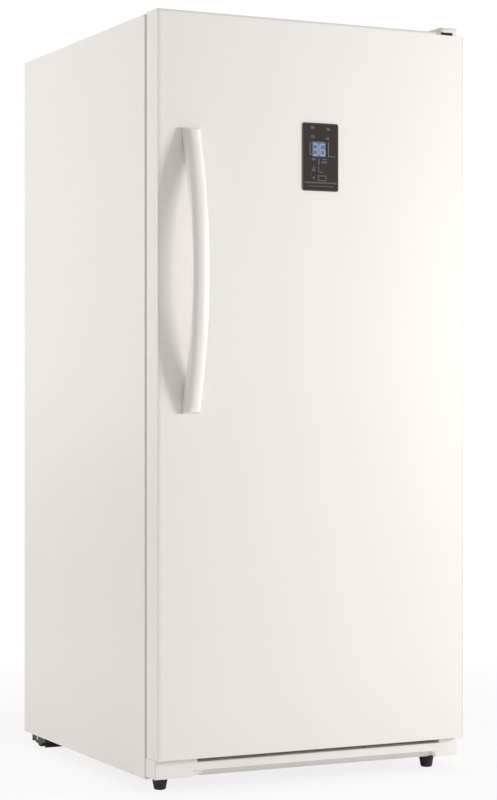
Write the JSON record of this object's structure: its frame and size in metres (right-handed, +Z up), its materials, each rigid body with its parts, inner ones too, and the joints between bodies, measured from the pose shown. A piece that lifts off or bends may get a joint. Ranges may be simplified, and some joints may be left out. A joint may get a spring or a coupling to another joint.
{
  "type": "upright freezer",
  "caption": "White single-door upright freezer with a bow handle on the left, a black glass control panel with blue digits, and levelling feet.",
  "frame": {"origin": "on the floor, midway across the width and midway in depth from the handle's front to the back panel", "axes": "+Z up, -Y out of the door's front, +X to the right as seen from the front, towards the hinge side"},
  "size_m": [0.71, 0.8299, 1.582],
  "materials": {
    "white_paint": "satin",
    "white_plastic": "satin",
    "liner_plastic": "satin",
    "clear_plastic": "gloss",
    "zinc_steel": "satin",
    "bright_steel": "polished",
    "black_steel": "satin",
    "black_plastic": "satin",
    "grey_plastic": "satin",
    "foam": "matte",
    "seal_rubber": "matte",
    "white_wire": "gloss",
    "fin_aluminium": "satin",
    "copper": "satin",
    "dark_glass": "gloss",
    "board_green": "satin"
  },
  "bodies": {
    "cabinet": {"back_panel": "zinc_steel", "bottom_basket": "liner_plastic", "cabinet_insulation": "foam", "cabinet_shell": "white_paint", "compressor": "black_steel", "compressor_grommets": "seal_rubber", "compressor_plate": "zinc_steel", "condenser": "black_steel", "condenser_fan_motor": "zinc_steel", "cord_gland": "black_plastic", "defrost_drain": "grey_plastic", "defrost_heater": "bright_steel", "drain_pan": "zinc_steel", "duct_cover": "liner_plastic", "evaporator": "fin_aluminium", "evaporator_fan_motor": "zinc_steel", "filter_drier": "copper", "foot_brackets": "black_steel", "foot_nuts": "zinc_steel", "front_rail": "zinc_steel", "hinge_cover": "white_plastic", "hinge_pins": "bright_steel", "hinge_screws": "bright_steel", "inner_liner": "liner_plastic", "kickplate": "white_plastic", "light_board": "board_green", "light_cover": "clear_plastic", "lower_hinge_bracket": "zinc_steel", "main_board_box": "black_plastic", "rear_cover": "zinc_steel", "refrigerant_lines": "copper", "relay_cover": "black_plastic", "roller_axles": "bright_steel", "roller_brackets": "black_steel", "shelf_lower": "white_wire", "shelf_middle": "white_wire", "shelf_upper": "white_wire", "stepped_floor": "zinc_steel", "upper_hinge_bracket": "black_steel"},
    "door": {"door_panel": "white_paint", "door_top_cap": "white_plastic", "door_bottom_cap": "white_plastic", "door_insulation": "foam", "door_liner": "liner_plastic", "door_gasket": "seal_rubber", "handle": "white_plastic", "handle_screws": "bright_steel", "control_bezel": "black_plastic", "control_glass": "dark_glass", "display_board": "board_green"},
    "front_foot_left": {"front_foot_left": "black_plastic"},
    "front_foot_right": {"front_foot_right": "black_plastic"},
    "rear_roller_left": {"rear_roller_left": "black_plastic"},
    "rear_roller_right": {"rear_roller_right": "black_plastic"},
    "evaporator_fan": {"evaporator_fan": "grey_plastic"},
    "condenser_fan": {"condenser_fan": "black_plastic"},
    "door_bin_1": {"door_bin_1": "clear_plastic"},
    "door_bin_2": {"door_bin_2": "clear_plastic"},
    "door_bin_3": {"door_bin_3": "clear_plastic"},
    "door_bin_4": {"door_bin_4": "clear_plastic"}
  },
  "joints": [
    {"name": "door_swing", "type": "hinge", "parent": "cabinet", "child": "door", "pos_m": [0.341, -0.324, 0.821], "axis": [0, 0, 1], "range_deg": [0, 125]},
    {"name": "front_foot_left_screw", "type": "slide", "parent": "cabinet", "child": "front_foot_left", "axis": [0, 0, 1], "range_m": [-0.012, 0]},
    {"name": "front_foot_right_screw", "type": "slide", "parent": "cabinet", "child": "front_foot_right", "axis": [0, 0, 1], "range_m": [-0.012, 0]},
    {"name": "rear_roller_left_spin", "type": "hinge", "parent": "cabinet", "child": "rear_roller_left", "pos_m": [-0.335, 0.345, 0.02], "axis": [1, 0, 0], "continuous": true},
    {"name": "rear_roller_right_spin", "type": "hinge", "parent": "cabinet", "child": "rear_roller_right", "pos_m": [0.335, 0.345, 0.02], "axis": [1, 0, 0], "continuous": true},
    {"name": "evaporator_fan_spin", "type": "hinge", "parent": "cabinet", "child": "evaporator_fan", "pos_m": [0, 0.2975, 0.985], "axis": [0, 1, 0], "continuous": true},
    {"name": "condenser_fan_spin", "type": "hinge", "parent": "cabinet", "child": "condenser_fan", "pos_m": [-0.103, 0.293, 0.16], "axis": [1, 0, 0], "continuous": true},
    {"name": "door_bin_1_lift", "type": "slide", "parent": "door", "child": "door_bin_1", "axis": [0, 0, 1], "range_m": [0, 0.035]},
    {"name": "door_bin_2_lift", "type": "slide", "parent": "door", "child": "door_bin_2", "axis": [0, 0, 1], "range_m": [0, 0.035]},
    {"name": "door_bin_3_lift", "type": "slide", "parent": "door", "child": "door_bin_3", "axis": [0, 0, 1], "range_m": [0, 0.035]},
    {"name": "door_bin_4_lift", "type": "slide", "parent": "door", "child": "door_bin_4", "axis": [0, 0, 1], "range_m": [0, 0.035]}
  ]
}
